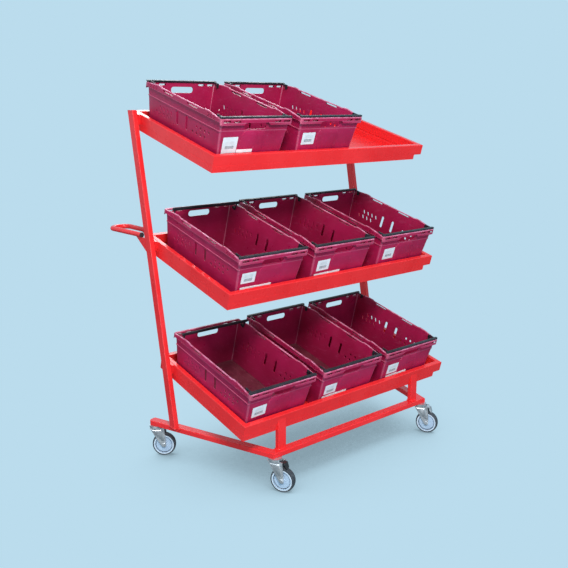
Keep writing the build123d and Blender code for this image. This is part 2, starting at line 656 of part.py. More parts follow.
def castor_wheel():
    """Return the wheel centre: a hub and a disc, with a groove inside its rim."""
    bore, half, tyre_seat = AXLE_R + AXLE_RUNNING, WHEEL_WIDTH / 2, WHEEL_R - TYRE
    ring = tyre_seat - RIM_RING
    groove = ring - RIM_GROOVE
    face, floor = half - DISC_IN, half - GROOVE_DEPTH
    hub = [(bore, 0), (bore, HUB_WIDTH / 2), (HUB_R, HUB_WIDTH / 2), (HUB_R, face)]
    disc = [(groove, face), (groove, floor), (ring, floor), (ring, half), (tyre_seat, half), (tyre_seat, 0)]
    profile = make_face(Polyline(*hub, *disc, close=True))
    profile += mirror(profile, about=Plane.XZ)
    return on_axle(revolve(profile, axis=Axis.Y))


def castor_tyre():
    """Return the tyre, with a crowned tread."""
    seat, half = WHEEL_R - TYRE, WHEEL_WIDTH / 2
    shoulder = WHEEL_R - TREAD_CROWN
    tread = ThreePointArc((shoulder, half), (WHEEL_R, 0), (shoulder, -half))
    sides = Polyline((shoulder, -half), (seat, -half), (seat, half), (shoulder, half))
    return on_axle(revolve(make_face(tread + sides), axis=Axis.Y))


def on_axle(part):
    """Return a wheel piece moved from its own centre to the axle."""
    return Pos(TRAIL, 0, WHEEL_R) * part


def castor_parts(joints):
    """Return the four castors, and note where they turn, roll and brake."""
    parts, races = {}, []
    rear_y = REAR_END_Y - REAR_CASTOR_AHEAD
    stands = {
        "front": (FRONT_HALF - FRONT_CASTOR_IN, FRONT_RAIL_Y + FRONT_CASTOR_BACK),
        "rear": (rail_x(rear_y), rear_y),
    }
    race, wheel, tyre, pedal = castor_race(), castor_wheel(), castor_tyre(), brake_pedal()
    for name, turn in CASTOR_TURNS.items():
        end, side = name.split("_")
        x, y = stands[end]
        x = x if side == "right" else -x
        spot = Location((x, y, 0), (0, 0, turn - 90))
        across = Vector(cos(radians(turn)), sin(radians(turn)), 0)
        races.append(spot * race)
        parts[f"castor_{name}_fork"] = spot * castor_fork(end == "front")
        parts[f"castor_{name}_wheel"] = spot * wheel
        parts[f"castor_{name}_tyre"] = spot * tyre
        joints[f"castor_{name}_swivel"] = (Vector(x, y, CASTOR_HEIGHT), Vector(0, 0, 1))
        joints[f"castor_{name}_roll"] = ((spot * Pos(TRAIL, 0, WHEEL_R)).position, across)
        if end == "front":
            parts[f"brake_pedal_{side}"] = spot * pedal
            pin = spot * Pos(PEDAL_AHEAD, 0, pedal_height())
            joints[f"brake_pedal_{side}_press"] = (pin.position, across)
    parts["castor_races"] = races
    return parts


def main():
    """Build every part, move the whole onto its origin and write one file for each."""
    joints = {}
    parts = {}
    for group in (base_parts(), tray_parts(), handle_parts(), castor_parts(joints), tote_parts(joints)):
        parts.update(group)
    solids = {}
    for name, part in parts.items():
        solids[name] = Compound(part if isinstance(part, list) else part.solids())
    box = Compound(list(solids.values())).bounding_box()
    to_origin = Vector(-(box.min.X + box.max.X) / 2, -(box.min.Y + box.max.Y) / 2, -box.min.Z)
    os.makedirs("parts", exist_ok=True)
    for name, solid in solids.items():
        export_step(Pos(*to_origin) * solid, f"parts/{name}.step")
    print("moved by", tuple(round(value, 4) for value in to_origin), "size", tuple(box.size))
    for name, (point, axis) in joints.items():
        place = tuple(round(value, 4) for value in point + to_origin)
        print("joint", name, *place, *(round(value, 6) for value in axis))


main()
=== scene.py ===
"""Tote box trolley: the looks of its frame, totes, bale arms and castors, in metres, in the shared frame."""
import json
from math import atan, degrees, hypot, pi, radians

import bmesh
import bpy
from mathutils import Matrix, Vector

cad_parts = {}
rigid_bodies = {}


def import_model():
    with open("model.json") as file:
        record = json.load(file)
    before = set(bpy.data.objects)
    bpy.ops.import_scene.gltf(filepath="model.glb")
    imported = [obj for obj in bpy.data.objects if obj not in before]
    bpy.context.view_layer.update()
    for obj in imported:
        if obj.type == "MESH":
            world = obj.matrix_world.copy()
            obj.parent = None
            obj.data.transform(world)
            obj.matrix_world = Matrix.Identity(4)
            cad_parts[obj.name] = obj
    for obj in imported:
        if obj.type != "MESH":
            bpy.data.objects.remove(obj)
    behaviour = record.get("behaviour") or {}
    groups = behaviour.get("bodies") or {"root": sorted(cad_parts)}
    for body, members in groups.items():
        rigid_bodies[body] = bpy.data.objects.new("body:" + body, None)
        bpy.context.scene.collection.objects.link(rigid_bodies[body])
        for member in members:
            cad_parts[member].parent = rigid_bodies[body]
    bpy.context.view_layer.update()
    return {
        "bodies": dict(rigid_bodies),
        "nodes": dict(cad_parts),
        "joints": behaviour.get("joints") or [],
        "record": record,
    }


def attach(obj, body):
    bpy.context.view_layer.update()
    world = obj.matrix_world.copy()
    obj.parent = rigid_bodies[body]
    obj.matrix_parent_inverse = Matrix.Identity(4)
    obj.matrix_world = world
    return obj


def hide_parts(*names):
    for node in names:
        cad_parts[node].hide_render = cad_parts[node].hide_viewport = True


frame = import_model()
NODES = frame["nodes"]
JOINTS = {joint["name"]: joint for joint in frame["joints"]}
TOTES = [name[len("tote_"):] for name in frame["bodies"] if name.startswith("tote_")]
TRAYS = ("top", "middle", "bottom")
CASTORS = ("front_left", "front_right", "rear_left", "rear_right")

# Tests for picking: how near a place a point lies, how far a normal points one way, and what edge is sharp
NEAR = 0.0005
FACING = 0.5
SHARP = radians(50)


# Shaping


def at_rest():
    """Leave edit mode with nothing selected."""
    if bpy.context.mode != "OBJECT":
        bpy.ops.object.mode_set(mode="OBJECT")
    bpy.ops.object.select_all(action="DESELECT")


def take(piece):
    """Select one piece by itself and make it active."""
    at_rest()
    piece.select_set(True)
    bpy.context.view_layer.objects.active = piece


def start(kind, name, **options):
    """Add a primitive by itself, open it in edit mode and return it."""
    at_rest()
    getattr(bpy.ops.mesh, f"primitive_{kind}_add")(**options)
    piece = bpy.context.object
    piece.name = name
    bpy.ops.object.mode_set(mode="EDIT")
    return piece


def reopen(piece):
    """Open a piece in edit mode again, by itself, with all of it selected."""
    take(piece)
    bpy.ops.object.mode_set(mode="EDIT")
    pick_all()


def pick_all():
    """Select all of the open piece."""
    bpy.ops.mesh.select_all(action="SELECT")


def pick(piece, kind, wanted):
    """Select the points, edges or faces of the open piece that pass a test."""
    bpy.ops.mesh.select_mode(type=kind)
    bpy.ops.mesh.select_all(action="DESELECT")
    mesh = bmesh.from_edit_mesh(piece.data)
    for part in {"VERT": mesh.verts, "EDGE": mesh.edges, "FACE": mesh.faces}[kind]:
        part.select_set(wanted(part))
    mesh.select_flush_mode()
    bmesh.update_edit_mesh(piece.data)


def middle(part):
    """Return the middle of an edge or face."""
    corners = part.verts
    return sum((corner.co for corner in corners), Vector()) / len(corners)


def reach(edge, axis):
    """Return how far an edge reaches along an axis."""
    first, second = edge.verts
    return abs(first.co[axis] - second.co[axis])


def stretch(x, y, z, about=(0, 0, 0)):
    """Scale what is selected about a point."""
    bpy.ops.transform.resize(value=(x, y, z), center_override=about)


def move(x, y, z):
    """Move what is selected."""
    bpy.ops.transform.translate(value=(x, y, z))


def turn(angle, axis):
    """Turn what is selected about an axis through the origin, clockwise seen from the axis's far end."""
    bpy.ops.transform.rotate(value=radians(angle), orient_axis=axis, center_override=(0, 0, 0))


def score(place, normal):
    """Cut new edges right round the open piece along a plane."""
    pick_all()
    bpy.ops.mesh.bisect(plane_co=place, plane_no=normal)


def ease(offset, segments):
    """Bevel the edges that are selected."""
    bpy.ops.mesh.bevel(offset=offset, segments=segments, affect="EDGES")


def ease_outline(piece, offset, segments):
    """Bevel the edges round the top and bottom faces of the open piece."""
    pick(piece, "FACE", lambda face: abs(face.normal.z) > FACING)
    bpy.ops.mesh.region_to_loop()
    ease(offset, segments)


def face_outward():
    """Turn all the open piece's faces outward."""
    pick_all()
    bpy.ops.mesh.normals_make_consistent(inside=False)


def apply_modifier(piece, kind, **settings):
    """Finish a piece with one modifier, applied."""
    take(piece)
    modifier = piece.modifiers.new(kind.title(), kind)
    for name, value in settings.items():
        setattr(modifier, name, value)
    bpy.ops.object.modifier_apply(modifier=modifier.name)


def ease_sharp(piece, width, segments):
    """Bevel every sharp edge of a piece."""
    apply_modifier(piece, "BEVEL", width=width, segments=segments, limit_method="ANGLE", angle_limit=SHARP)


def cut(piece, cutter):
    """Take a cutter's solid out of a piece, and delete the cutter."""
    apply_modifier(piece, "BOOLEAN", operation="DIFFERENCE", object=cutter, solver="EXACT")
    bpy.data.objects.remove(cutter)


def smooth(piece, angle):
    """Shade a piece smooth except over edges sharper than an angle."""
    take(piece)
    bpy.ops.object.shade_smooth_by_angle(angle=radians(angle))


def join(piece, *others):
    """Make several pieces one."""
    at_rest()
    for part in (piece, *others):
        part.select_set(True)
    bpy.context.view_layer.objects.active = piece
    bpy.ops.object.join()
    return piece


def copy_of(master, name, place):
    """Return a copy with its own mesh, moved to its place."""
    copy = master.copy()
    copy.data = master.data.copy()
    copy.name = name
    copy.data.transform(place)
    bpy.context.collection.objects.link(copy)
    return copy


# Tote, standing on its own origin with its length along Y
WALL = 0.003
TOTE_HEIGHT = 0.235
HALF_WIDTH = 0.1945
HALF_LENGTH = 0.305
SIDE_RIM = 0.006
END_RIM = 0.009
TAPER = 0.022
WALL_LEAN = degrees(atan(TAPER / TOTE_HEIGHT))
BASE_CORNER = 0.008
EDGE_ROUND = 0.0015
EDGE_BREAK = 0.0006
RIB = (0.166, 0.170)
RIB_OUT = 0.003

# Rim: a dip along each side, then slopes down to the rests of the bale arms
SIDE_BAND = 0.028
END_BAND = 0.038
DIP = 0.004
DIP_RAMP = (0.165, 0.177)
REST_DROP = 0.010
REST_SLOPE = (0.201, 0.281)


def wall_half(height):
    """Return the half width and half length of the tote's outer wall at a height."""
    spread = TAPER * (1 - height / TOTE_HEIGHT)
    return HALF_WIDTH - SIDE_RIM - spread, HALF_LENGTH - END_RIM - spread


def rim_top(along):
    """Return the height of the tote's rim at a distance from the middle of its length."""
    along = abs(along)
    for (start_at, end_at), low, high in ((DIP_RAMP, -DIP, 0.0), (REST_SLOPE, 0.0, -REST_DROP)):
        if along <= end_at:
            share = max(0.0, (along - start_at) / (end_at - start_at))
            return TOTE_HEIGHT + low + share * (high - low)
    return TOTE_HEIGHT - REST_DROP


def tote_stages():
    """Return the sheet's heights and half sizes up the wall, over the rim and down its skirt."""
    def wall(height, out=0.0):
        width, length = wall_half(height)
        return height, width + out, length + out

    under = TOTE_HEIGHT - WALL
    skirt_x, skirt_y = HALF_WIDTH - WALL, HALF_LENGTH - WALL
    return [
        wall(2 * EDGE_ROUND),
        wall(RIB[0]),
        wall(RIB[1]),
        wall(under - EDGE_ROUND),
        (under, *wall(under, EDGE_ROUND)[1:]),
        (under, skirt_x - EDGE_ROUND, skirt_y - EDGE_ROUND),
        (under - EDGE_ROUND, skirt_x, skirt_y),
        (TOTE_HEIGHT - SIDE_BAND, skirt_x, skirt_y),
    ]


def tote_sheet():
    """Return the tote's walls and rim as one sheet, drawn up from its floor stage by stage."""
    shell = start("plane", "tote_master", size=2)
    width, length = (half - 2 * EDGE_ROUND for half in wall_half(0))
    stretch(width, length, 1)
    bpy.ops.mesh.bevel(affect="VERTICES", offset=BASE_CORNER, segments=4)
    pick(shell, "EDGE", lambda edge: edge.is_boundary)
    height = 0.0
    for new_height, new_width, new_length in tote_stages():
        bpy.ops.mesh.extrude_edges_move(TRANSFORM_OT_translate={"value": (0, 0, new_height - height)})
        stretch(new_width / width, new_length / length, 1)
        height, width, length = new_height, new_width, new_length
    for place in (*DIP_RAMP, *REST_SLOPE):
        for side in (-1, 1):
            score((0, side * place, 0), (0, 1, 0))
    face_outward()
    return shell


def shape_rim(shell):
    """Lower the rim along the sides and at the ends, and lengthen its skirt at the ends."""
    top = TOTE_HEIGHT - WALL - EDGE_ROUND - NEAR
    skirt = TOTE_HEIGHT - SIDE_BAND
    pick(shell, "VERT", lambda point: point.co.z > top and abs(point.co.y) < DIP_RAMP[0] + NEAR)
    move(0, 0, -DIP)
    pick(shell, "VERT", lambda point: point.co.z > top and abs(point.co.y) > REST_SLOPE[1] - NEAR)
    move(0, 0, -REST_DROP)
    pick(shell, "VERT", lambda point: abs(point.co.z - skirt) < NEAR
         and abs(point.co.y) > HALF_LENGTH - END_RIM)
    move(0, 0, SIDE_BAND - END_BAND)


def raise_rib(shell):
    """Draw the rib out of the long walls between its two heights."""
    def on_rib(face):
        place = middle(face)
        outward = face.normal.x * place.x + face.normal.y * place.y > 0
        return RIB[0] < place.z < RIB[1] and abs(face.normal.x) > FACING and outward

    reopen(shell)
    pick(shell, "FACE", on_rib)
    bpy.ops.mesh.extrude_region_shrink_fatten(TRANSFORM_OT_shrink_fatten={"value": RIB_OUT})
    at_rest()


# Openings in the tote's walls, as length and height, and where they are
HAND_HOLE = (0.123, 0.028)
HAND_HOLE_Z = 0.190
HAND_NOTCH = (0.139, 0.030)
HAND_NOTCH_Z = 0.193
SLOT = (0.016, 0.062)
SLOT_Z = 0.131
SLOT_PITCH = 0.075
GROUP_MIDDLE = 0.148
GROUP_PITCH = 0.0306
GROUP_COLUMNS = 4
GROUP_ROWS = (0.137, 0.109)
HOLE = (0.012, 0.012)
SLIT = (0.007, 0.020)
SLIT_LEAN = 28.0
SIDE_SLIT = (0.082, 0.008)
SIDE_SLITS = (-0.087, 0.110)
SIDE_SLIT_Z = 0.222
END_SLIT = (0.038, 0.009)
END_SLITS = (-0.1625, -0.1095, 0.1095, 0.1625)
END_SLIT_Z = 0.213

# How round an opening's ends are, as a share of its narrow side, and how far its cutter runs through
ROUND_END = 0.46
THROUGH_SIDES = 3 * HALF_WIDTH
THROUGH_ENDS = 3 * HALF_LENGTH
THROUGH_SKIRT = 3 * WALL

# Holes for the bale arms' pins, as radius and depth, and the place of one
PIN_HOLE = (0.0043, 0.016)
PIN_PLACE = (0.1825, 0.256, 0.215)

# Shallow pockets that lighten the rim's skirt beside each corner, as length, height and depth
POCKET = (0.0155, 0.0048, 0.0018)
POCKET_CORNER = 0.001
POCKET_COLUMNS = (0.208, 0.230, 0.252)
POCKET_ROWS = (0.2108, 0.2175, 0.2242)


def opening(length, height, through, place, across, lean=0.0):
    """Return a round-ended cutter that runs through a wall, across X or along Y."""
    cutter = start("cube", "opening", size=1)
    stretch(through, length, height)
    pick(cutter, "EDGE", lambda edge: reach(edge, 0) > through / 2)
    ease(ROUND_END * min(length, height), segments=4)
    pick_all()
    if lean:
        turn(lean, "X")
    if across == "Y":
        turn(90, "Z")
    move(*place)
    at_rest()
    return cutter


def side_openings():
    """Return the long walls' slots, holes, slits and rim slits as one cutter."""
    def through(shape, along, height, lean=0.0):
        return opening(*shape, THROUGH_SIDES, (0, along, height), "X", lean)

    cutters = [through(SLOT, side * SLOT_PITCH / 2, SLOT_Z) for side in (-1, 1)]
    for row, height in enumerate(GROUP_ROWS):
        for column in range(GROUP_COLUMNS):
            shift = (column + row - GROUP_COLUMNS / 2) * GROUP_PITCH
            cutters.append(through(HOLE, shift - GROUP_MIDDLE, height))
            cutters.append(through(SLIT, shift + GROUP_MIDDLE, height, SLIT_LEAN))
    cutters += [through(SIDE_SLIT, place, SIDE_SLIT_Z) for place in SIDE_SLITS]
    return join(*cutters)


def end_openings():
    """Return the end walls' hand holes and rim slits as one cutter."""
    slits = [opening(*END_SLIT, THROUGH_ENDS, (place, 0, END_SLIT_Z), "Y") for place in END_SLITS]
    holes = opening(*HAND_HOLE, THROUGH_ENDS, (0, 0, HAND_HOLE_Z), "Y")
    return join(holes, *slits)


def skirt_notches():
    """Return a cutter that clears the skirt in front of both hand holes."""
    places = [(0, end * HALF_LENGTH, HAND_NOTCH_Z) for end in (-1, 1)]
    return join(*(opening(*HAND_NOTCH, THROUGH_SKIRT, place, "Y") for place in places))


def rim_pocket(place):
    """Return a cutter for one pocket in the skirt of a long side."""
    length, height, depth = POCKET
    cutter = start("cube", "pocket", size=1)
    stretch(2 * depth, length, height)
    pick(cutter, "EDGE", lambda edge: reach(edge, 0) > depth)
    ease(POCKET_CORNER, segments=1)
    pick_all()
    move(*place)
    return cutter


def rim_pockets():
    """Return the skirt's pockets beside all four corners as one cutter."""
    places = [(side * HALF_WIDTH, end * along, height) for side in (-1, 1) for end in (-1, 1)
              for along in POCKET_COLUMNS for height in POCKET_ROWS]
    return join(*(rim_pocket(place) for place in places))


def pin_holes():
    """Return the four holes that take the bale arms' pins as one cutter."""
    cutters = []
    radius, depth = PIN_HOLE
    for side in (-1, 1):
        for end in (-1, 1):
            cutters.append(start("cylinder", "pin_hole", vertices=20, radius=radius, depth=depth))
            turn(90, "Y")
            move(side * PIN_PLACE[0], end * PIN_PLACE[1], PIN_PLACE[2])
    return join(*cutters)


# Raised panel on each end wall, as half width and height, its shoulders rising to the hand hole
PANEL_TOP = (0.052, 0.169)
PANEL_SHOULDER = (0.0655, 0.150)
PANEL_LOW = 0.020
PANEL_OUT = 0.0020
PANEL_EDGE = 0.8 * PANEL_OUT


def lean_on_end(piece, around=0.0):
    """Lean a piece drawn on the XZ plane as the end wall leans, and set it on that wall's outer face."""
    pick_all()
    turn(-WALL_LEAN, "X")
    move(0, -wall_half(0)[1], 0)
    turn(around, "Z")
    at_rest()
    return piece


def end_panel(around):
    """Return the raised panel on one end wall, leaning with the wall."""
    panel = start("cube", "end_panel", size=1)
    half, shoulder = PANEL_SHOULDER
    top_half, top = PANEL_TOP
    stretch(2 * half, 2 * PANEL_OUT, shoulder - PANEL_LOW)
    move(0, 0, (shoulder + PANEL_LOW) / 2)
    pick(panel, "FACE", lambda face: face.normal.z > FACING)
    bpy.ops.mesh.extrude_region_move(TRANSFORM_OT_translate={"value": (0, 0, top - shoulder)})
    stretch(top_half / half, 1, 1)
    pick(panel, "EDGE", lambda edge: middle(edge).y < -PANEL_OUT / 2)
    ease(PANEL_EDGE, segments=2)
    return lean_on_end(panel, around)


def tote_master():
    """Return one finished tote on its own origin."""
    shell = tote_sheet()
    shape_rim(shell)
    apply_modifier(shell, "SOLIDIFY", thickness=WALL, offset=1, use_even_offset=True)
    raise_rib(shell)
    for cutter in (side_openings, end_openings, skirt_notches, rim_pockets, pin_holes):
        cut(shell, cutter())
    join(shell, end_panel(0), end_panel(180))
    ease_sharp(shell, EDGE_BREAK, segments=1)
    smooth(shell, angle=35)
    return shell


# How far round a corner its painted highlight starts, as a share of the corner, and how much of it shows
# outside
CORNER_HIGHLIGHT_START = 0.25
OUTER_CORNER_HIGHLIGHT = 0.4


def keep_shade_and_highlight_places(tote):
    """Remember each point's height, depth below the rim, and whether it is outside or on a corner, for the
    tote's painted shade and painted highlights.
    """
    heights, sides = [], []
    for point in tote.data.vertices:
        x, y, z = abs(point.co.x), abs(point.co.y), point.co.z
        width, length = wall_half(z)
        past_x, past_y = x - width + BASE_CORNER, y - length + BASE_CORNER
        past = hypot(past_x, past_y) if min(past_x, past_y) > 0 else max(past_x, past_y)
        outside = past > BASE_CORNER - WALL / 2 or z < WALL / 2
        # Corners get a painted highlight, weaker on the outside.
        corner = min(past_x, past_y) > CORNER_HIGHLIGHT_START * BASE_CORNER
        heights += [z, rim_top(y) - z, 0.0]
        sides += [float(outside), corner * (OUTER_CORNER_HIGHLIGHT if outside else 1.0), 0.0]
    for name, values in (("heights", heights), ("sides", sides)):
        tote.data.attributes.new(name, "FLOAT_VECTOR", "POINT").data.foreach_set("vector", values)


def tote_place(name):
    """Return the matrix that puts a tote's own frame where its CAD node stands in its tilted tray."""
    normal = Vector(JOINTS[f"tote_{name}_lift"]["axis"])
    slope = Vector((0, normal.z, -normal.y))
    points = [point.co for point in NODES[f"tote_{name}"].data.vertices]
    along = [point.dot(slope) for point in points]
    up = [point.dot(normal) for point in points]
    across = [point.x for point in points]
    x = (min(across) + max(across)) / 2
    origin = Vector((x, 0, 0)) + slope * ((min(along) + max(along)) / 2) + normal * min(up)
    place = Matrix((Vector((1, 0, 0)), slope, normal)).transposed().to_4x4()
    place.translation = origin
    return place


# Bale arm of a tote's back end: a flat bar, as width and height, on two legs that turn on pins
BAR = (0.016, 0.0075)
BAR_ROUND = 0.4 * BAR[0]
BAR_EDGE = 0.3 * BAR[1]
BAR_REACH = 0.038
BAR_LOW = 0.0105
LEG = 0.006
LEG_EDGE = 0.0012
LEG_INSET = 0.1 * BAR[1]
EYE = 0.0065
EYE_EDGE = 0.0006
ARM_PIN = (0.004, 0.008)
ARM_LEG_X = 0.1815
ARM_PIVOT = Vector((0, 0.256, 0.215))


def arm_bar():
    """Return the arm's flat bar, its ends rounded in plan and its long edges eased."""
    width, height = BAR
    bar = start("cube", "arm_bar", size=1)
    stretch(2 * HALF_WIDTH, width, height)
    pick(bar, "EDGE", lambda edge: reach(edge, 2) > height / 2)
    ease(BAR_ROUND, segments=4)
    ease_outline(bar, BAR_EDGE, segments=3)
    pick_all()
    move(*(ARM_PIVOT + Vector((0, BAR_REACH, BAR_LOW + height / 2))))
    at_rest()
    return bar


def arm_round(radius, depth, out):
    """Return a disc across the tote, for a leg's eye or its pin."""
    disc = start("cylinder", "arm_round", vertices=24, radius=radius, depth=depth)
    ease_outline(disc, EYE_EDGE, segments=1)
    pick_all()
    turn(90, "Y")
    move(out, 0, 0)
    at_rest()
    return disc


def arm_leg(side):
    """Return one leg: up from its eye, then level to the bar, with the pin that turns in the tote's wall."""
    leg = start("cube", "arm_leg", size=1)
    top = BAR_LOW + BAR[1] - LEG_INSET
    stretch(LEG, 2 * EYE, top)
    move(0, 0, top / 2)
    score((0, 0, BAR_LOW + LEG_INSET), (0, 0, 1))
    pick(leg, "FACE", lambda face: face.normal.y > FACING and middle(face).z > BAR_LOW)
    bpy.ops.mesh.extrude_region_move(TRANSFORM_OT_translate={"value": (0, BAR_REACH - EYE, 0)})
    pick(leg, "EDGE", lambda edge: edge.calc_face_angle(0.0) > SHARP)
    ease(LEG_EDGE, segments=2)
    pin_radius, pin_length = ARM_PIN
    eye = arm_round(EYE, LEG, 0.0)
    pin = arm_round(pin_radius, pin_length, side * (LEG + pin_length) / 2)
    join(leg, eye, pin)
    reopen(leg)
    move(*(ARM_PIVOT + Vector((side * (ARM_LEG_X - LEG / 2), 0, 0))))
    at_rest()
    return leg


def arm_master():
    """Return one bale arm in its tote's own frame, swung out over the back end."""
    arm = join(arm_bar(), arm_leg(-1), arm_leg(1))
    smooth(arm, angle=40)
    return arm


def arm_place(end, name):
    """Return the matrix that puts the arm on an end of a tote, out or in as its CAD node lies."""
    if end == "front":
        return tote_place(name) @ Matrix.Rotation(pi, 4, "Z")
    joint = JOINTS[f"arm_back_{name}_swing"]
    swing = radians(joint["range_deg"][1]) if joint["axis"][0] < 0 else 0.0
    about = Matrix.Translation(ARM_PIVOT) @ Matrix.Rotation(swing, 4, "X") @ Matrix.Translation(-ARM_PIVOT)
    return tote_place(name) @ about


# Paper on the totes' fronts, as middle across, middle up, width, height and tilt
LABELS = {
    "top_1": (-0.1185, 0.107, 0.077, 0.072, 1.0),
    "top_2": (-0.1155, 0.124, 0.077, 0.057, 1.0),
    "middle_1": (-0.1185, 0.123, 0.076, 0.052, 1.0),
    "middle_2": (-0.1100, 0.119, 0.077, 0.056, 2.0),
    "middle_3": (-0.1055, 0.118, 0.076, 0.060, 2.0),
    "bottom_1": (-0.1120, 0.114, 0.077, 0.055, 2.5),
    "bottom_2": (-0.1145, 0.109, 0.075, 0.053, 0.5),
    "bottom_3": (-0.1055, 0.113, 0.077, 0.056, 1.0),
}
STRIPS = {
    "top_1": (-0.035, 0.0795, 0.084, 0.014, 0.5),
    "middle_1": (-0.067, 0.072, 0.172, 0.012, 0.5),
    "middle_2": (-0.072, 0.072, 0.163, 0.012, 2.0),
    "bottom_2": (-0.079, 0.070, 0.158, 0.013, 1.5),
    "bottom_3": (-0.066, 0.071, 0.150, 0.014, 1.5),
}
PAPER = 0.0004
PAPER_CORNER = 0.002


def keep_own_place(slip):
    """Remember each point's place on the flat slip, for the print that follows it."""
    places = slip.data.attributes.new("own_place", "FLOAT_VECTOR", "POINT")
    places.data.foreach_set("vector", [value for point in slip.data.vertices for value in point.co])


def paper(name, across, up, width, height, tilt):
    """Return a slip of paper on a tote's front wall, stepping over the edge of the raised panel."""
    slip = start("plane", name, size=1)
    stretch(width, height, 1)
    bpy.ops.mesh.bevel(affect="VERTICES", offset=PAPER_CORNER, segments=2)
    pick_all()
    turn(-90, "X")
    at_rest()
    keep_own_place(slip)
    reopen(slip)
    turn(tilt, "Y")
    move(across, -PAPER / 2, up)
    edge = -PANEL_SHOULDER[0]
    for place in (edge - PANEL_OUT, edge):
        score((place, 0, 0), (1, 0, 0))
    pick(slip, "VERT", lambda point: point.co.x > edge - PAPER)
    move(0, -PANEL_OUT, 0)
    lean_on_end(slip)
    apply_modifier(slip, "SOLIDIFY", thickness=PAPER, offset=1)
    return slip


# Materials


class Patterns:
    """Helpers that add a pattern's nodes to a node tree."""

    def __init__(self, tree):
        self.nodes = tree.nodes
        self.link = tree.links.new

    def places(self, kind):
        """Return coordinates of a kind."""
        return self.nodes.new("ShaderNodeTexCoord").outputs[kind]

    def split(self, value):
        """Return a vector's three parts."""
        split = self.nodes.new("ShaderNodeSeparateXYZ")
        self.link(value, split.inputs["Vector"])
        return list(split.outputs)

    def ramp(self, value, stops):
        """Return colours or greys for a value, from (place, colour) stops."""
        ramp = self.nodes.new("ShaderNodeValToRGB")
        points = ramp.color_ramp.elements
        while len(points) < len(stops):
            points.new(0.5)
        for point, (place, colour) in zip(points, stops):
            point.position = place
            point.color = (*colour, 1.0) if isinstance(colour, tuple) else (colour, colour, colour, 1.0)
        self.link(value, ramp.inputs["Fac"])
        return ramp.outputs["Color"]

    def spread(self, value, old_span, new_span):
        """Return a value carried from one span to another, held at its ends."""
        spread = self.nodes.new("ShaderNodeMapRange")
        for name, number in zip(("From Min", "From Max", "To Min", "To Max"), (*old_span, *new_span)):
            spread.inputs[name].default_value = number
        self.link(value, spread.inputs["Value"])
        return spread.outputs["Result"]

    def fade(self, value, span, most):
        """Return a share that falls from the most to nothing as a value crosses a span."""
        return self.spread(value, span, (most, 0.0))

    def math(self, kind, first, second=0.0):
        """Return a sum, product or other of two values."""
        node = self.nodes.new("ShaderNodeMath")
        node.operation = kind
        for socket, value in zip(node.inputs, (first, second)):
            if isinstance(value, float):
                socket.default_value = value
            else:
                self.link(value, socket)
        return node.outputs["Value"]

    def stripes(self, value, count):
        """Return 1 on even stripes along a value and 0 between them, so many to the metre."""
        return self.math("LESS_THAN", self.math("FRACT", self.math("MULTIPLY", value, count)), 0.5)

    def between(self, value, low, high):
        """Return 1 where a value lies between two others, else 0."""
        away = self.math("ABSOLUTE", self.math("SUBTRACT", value, (low + high) / 2))
        return self.math("LESS_THAN", away, (high - low) / 2)


class Finish(Patterns):
    """A node material: a principled surface, with helpers for the wear, painted shade and painted highlights
    that feed it.
    """

    CLOUD = (0.3, 0.7)

    def __init__(self, name, metallic=0.0, specular=0.5):
        self.material = bpy.data.materials.new(name)
        self.material.use_nodes = True
        super().__init__(self.material.node_tree)
        self.surface = self.nodes["Principled BSDF"].inputs
        self.surface["Metallic"].default_value = metallic
        self.surface["Specular IOR Level"].default_value = specular
        self.own = self.places("Object")

    def attribute(self, name):
        """Return three values stored for each point."""
        node = self.nodes.new("ShaderNodeAttribute")
        node.attribute_name = name
        return self.split(node.outputs["Vector"])

    def noise(self, scale, detail=3.0, roughness=0.55, squeeze=None):
        """Return a noise pattern's value, finer as the scale grows."""
        pattern = self.nodes.new("ShaderNodeTexNoise")
        for name, number in (("Scale", scale), ("Detail", detail), ("Roughness", roughness)):
            pattern.inputs[name].default_value = number
        places = self.own
        if squeeze:
            mapping = self.nodes.new("ShaderNodeMapping")
            mapping.inputs["Scale"].default_value = squeeze
            self.link(self.own, mapping.inputs["Vector"])
            places = mapping.outputs["Vector"]
        self.link(places, pattern.inputs["Vector"])
        return pattern.outputs["Fac"]

    def clouds(self, scale, dark, pale, detail=4.0, roughness=0.55, span=CLOUD):
        """Return colours clouded between two tones."""
        return self.ramp(self.noise(scale, detail, roughness), [(span[0], dark), (span[1], pale)])

    def marks(self, scale, span, most, least=0.0, detail=6.0, roughness=0.7, squeeze=None):
        """Return a share that grows from the least to the most over a span of a noise pattern."""
        pattern = self.noise(scale, detail, roughness, squeeze)
        return self.ramp(pattern, [(span[0], least), (span[1], most)])

    def mix(self, share, first, second):
        """Return one colour laid over another by a share."""
        mix = self.nodes.new("ShaderNodeMix")
        mix.data_type = "RGBA"
        for name, value in (("Factor", share), ("A", first), ("B", second)):
            socket = next(one for one in mix.inputs if one.name == name and one.enabled)
            if isinstance(value, tuple):
                socket.default_value = (*value, 1.0)
            else:
                self.link(value, socket)
        return next(one for one in mix.outputs if one.enabled)

    def colour(self, value):
        """Feed the surface's colour."""
        self.link(value, self.surface["Base Color"])

    def gloss(self, scale, low, high, detail=3.0):
        """Cloud the surface's roughness between two values."""
        rough = self.spread(self.noise(scale, detail), self.CLOUD, (low, high))
        self.link(rough, self.surface["Roughness"])

    def grain(self, scale, height, strength, detail=3.0):
        """Give the surface a fine relief, its height in metres."""
        bump = self.nodes.new("ShaderNodeBump")
        bump.inputs["Distance"].default_value = height
        bump.inputs["Strength"].default_value = strength
        self.link(self.noise(scale, detail), bump.inputs["Height"])
        self.link(bump.outputs["Normal"], self.surface["Normal"])


